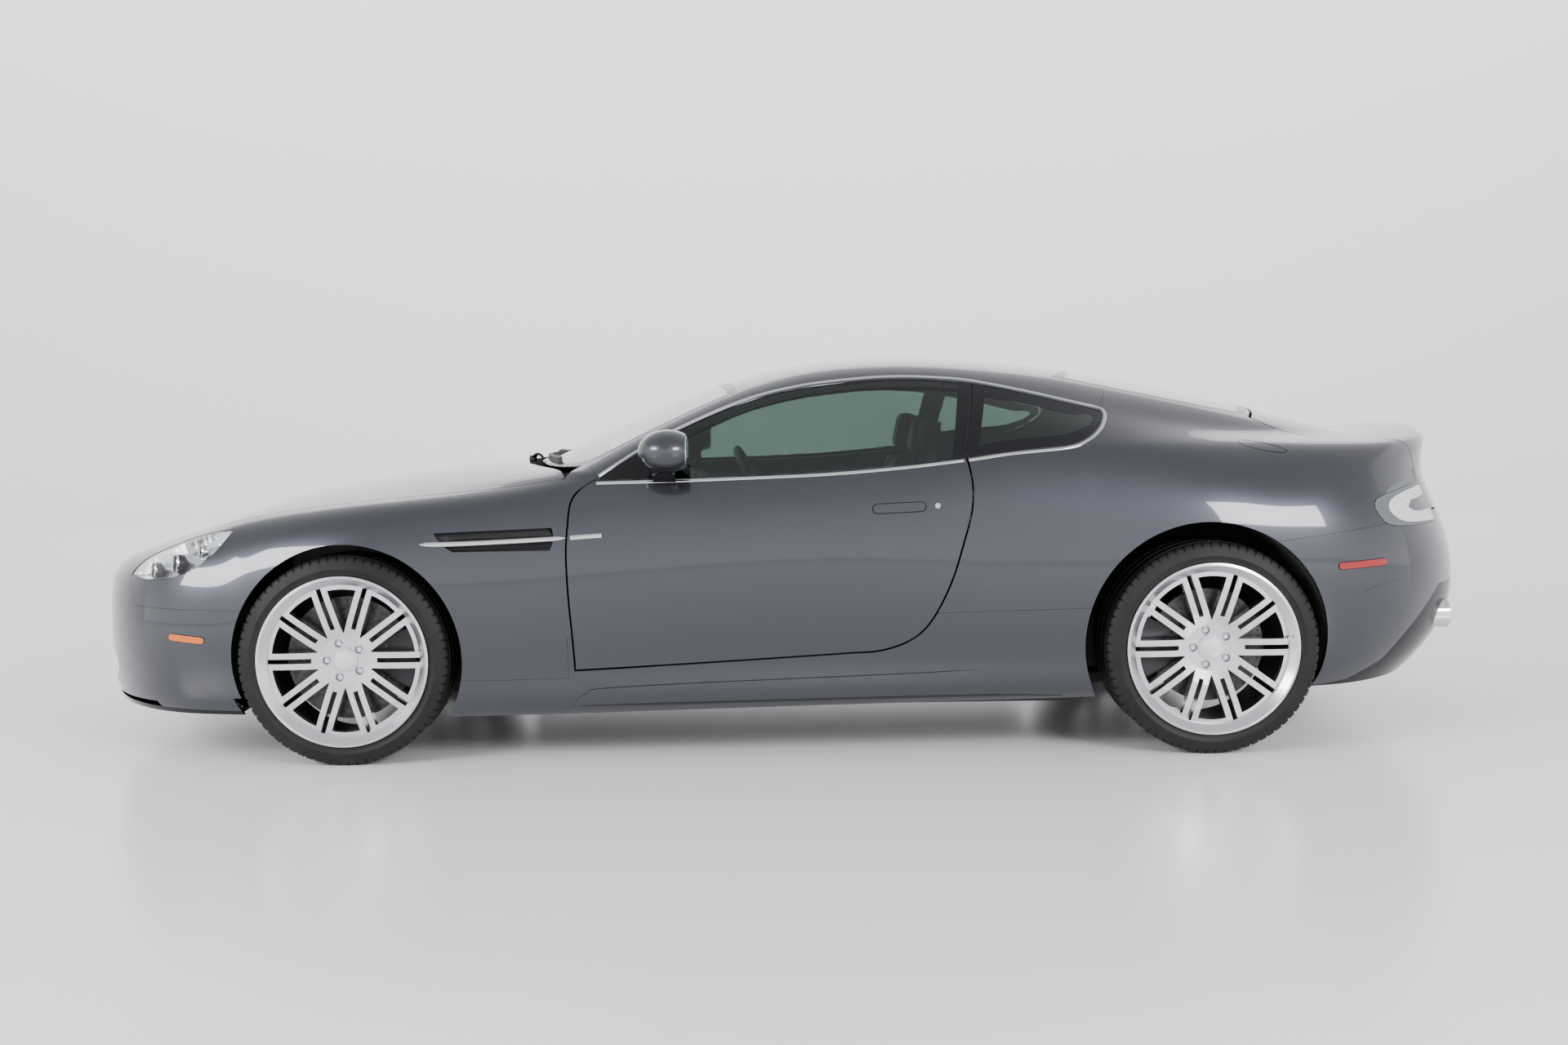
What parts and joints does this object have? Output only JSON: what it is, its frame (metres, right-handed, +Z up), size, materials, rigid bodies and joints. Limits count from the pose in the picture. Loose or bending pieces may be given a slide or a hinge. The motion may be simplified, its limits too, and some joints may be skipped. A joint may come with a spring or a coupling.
{
  "type": "two-door coupe",
  "caption": "Low fastback coupe car with a long bonnet, opening doors, bonnet and boot lid, steered front wheels, rolling wheels and a furnished cabin.",
  "frame": {"origin": "on the road, below the middle of the car's overall length and width", "axes": "+X to the rear, +Y to the car's right-hand side, +Z up"},
  "size_m": [4.7207, 2.06, 1.2768],
  "materials": {
    "paint": "metallic gloss",
    "glass": "tinted",
    "tyre": "matte",
    "alloy": "bright silver",
    "iron": "machined",
    "cast": "cast",
    "dark": "satin",
    "trim": "grained",
    "leather": "grained",
    "satin": "satin",
    "chrome": "polished",
    "black": "gloss",
    "underbody": "satin",
    "liner": "matte",
    "lamp": "clear over silver",
    "rubber": "matte"
  },
  "bodies": {
    "body": {"subframe_front": "dark", "subframe_rear": "dark", "calipers_rear": "dark", "engine": "cast", "dashboard": "trim", "centre_console": "trim", "front_seats": "leather", "seat_rails": "dark", "rear_seats": "leather", "front_bumper": "paint", "front_splitter": "black", "grille": "satin", "front_wings": "paint", "windscreen_pillars": "paint", "roof": "paint", "rear_quarters": "paint", "rear_bumper": "paint", "rear_diffuser": "black", "side_skirts": "paint", "floor": "underbody", "bulkhead_front": "underbody", "boot_tub": "underbody", "wheel_liners": "liner", "windscreen": "glass", "rear_screen": "glass", "quarter_windows": "glass", "headlamps": "lamp", "tail_lamps": "lamp", "wipers": "rubber", "tailpipes": "chrome"},
    "wheel_front_left": {"tyre_front_left": "tyre", "disc_front_left": "iron", "rim_front_left": "alloy"},
    "wheel_front_right": {"tyre_front_right": "tyre", "disc_front_right": "iron", "rim_front_right": "alloy"},
    "wheel_rear_left": {"tyre_rear_left": "tyre", "disc_rear_left": "iron", "rim_rear_left": "alloy"},
    "wheel_rear_right": {"tyre_rear_right": "tyre", "disc_rear_right": "iron", "rim_rear_right": "alloy"},
    "upright_left": {"upright_front_left": "cast", "caliper_front_left": "dark"},
    "upright_right": {"upright_front_right": "cast", "caliper_front_right": "dark"},
    "steering_wheel": {"steering_wheel": "leather"},
    "bonnet": {"bonnet": "paint"},
    "boot_lid": {"boot_lid": "paint"},
    "door_left": {"door_panel_left": "paint", "door_glass_left": "glass", "mirror_left": "paint"},
    "door_right": {"door_panel_right": "paint", "door_glass_right": "glass", "mirror_right": "paint"}
  },
  "joints": [
    {"name": "front_left_steer", "type": "hinge", "parent": "body", "child": "upright_left", "pos_m": [-1.39, -0.73, 0.334], "axis": [0.0867, 0.1041, 0.9908], "range_deg": [-33, 33]},
    {"name": "front_left_spin", "type": "hinge", "parent": "upright_left", "child": "wheel_front_left", "pos_m": [-1.39, -0.784, 0.334], "axis": [0, -1, 0], "continuous": true},
    {"name": "rear_left_spin", "type": "hinge", "parent": "body", "child": "wheel_rear_left", "pos_m": [1.35, -0.781, 0.336], "axis": [0, -1, 0], "continuous": true},
    {"name": "left_door_hinge", "type": "hinge", "parent": "body", "child": "door_left", "pos_m": [-0.611, -0.893, 0.55], "axis": [0, -0.0523, -0.9986], "range_deg": [0, 62]},
    {"name": "front_right_steer", "type": "hinge", "parent": "body", "child": "upright_right", "pos_m": [-1.39, 0.73, 0.334], "axis": [0.0867, -0.1041, 0.9908], "range_deg": [-33, 33]},
    {"name": "front_right_spin", "type": "hinge", "parent": "upright_right", "child": "wheel_front_right", "pos_m": [-1.39, 0.784, 0.334], "axis": [0, -1, 0], "continuous": true},
    {"name": "rear_right_spin", "type": "hinge", "parent": "body", "child": "wheel_rear_right", "pos_m": [1.35, 0.781, 0.336], "axis": [0, -1, 0], "continuous": true},
    {"name": "right_door_hinge", "type": "hinge", "parent": "body", "child": "door_right", "pos_m": [-0.611, 0.893, 0.55], "axis": [0, -0.0523, 0.9986], "range_deg": [0, 62]},
    {"name": "steering_wheel_turn", "type": "hinge", "parent": "body", "child": "steering_wheel", "pos_m": [-0.072, -0.385, 0.797], "axis": [0.9135, 0, 0.4067], "range_deg": [-495, 495]},
    {"name": "bonnet_hinge", "type": "hinge", "parent": "body", "child": "bonnet", "pos_m": [-0.668, 0, 0.889], "axis": [0, 1, 0], "range_deg": [0, 50]},
    {"name": "boot_hinge", "type": "hinge", "parent": "body", "child": "boot_lid", "pos_m": [1.5, 0, 1.034], "axis": [0, -1, 0], "range_deg": [0, 60]}
  ],
  "couplings": [
    {"joint": "front_right_steer", "follows": "front_left_steer", "ratio": 1},
    {"joint": "steering_wheel_turn", "follows": "front_left_steer", "ratio": 15}
  ]
}
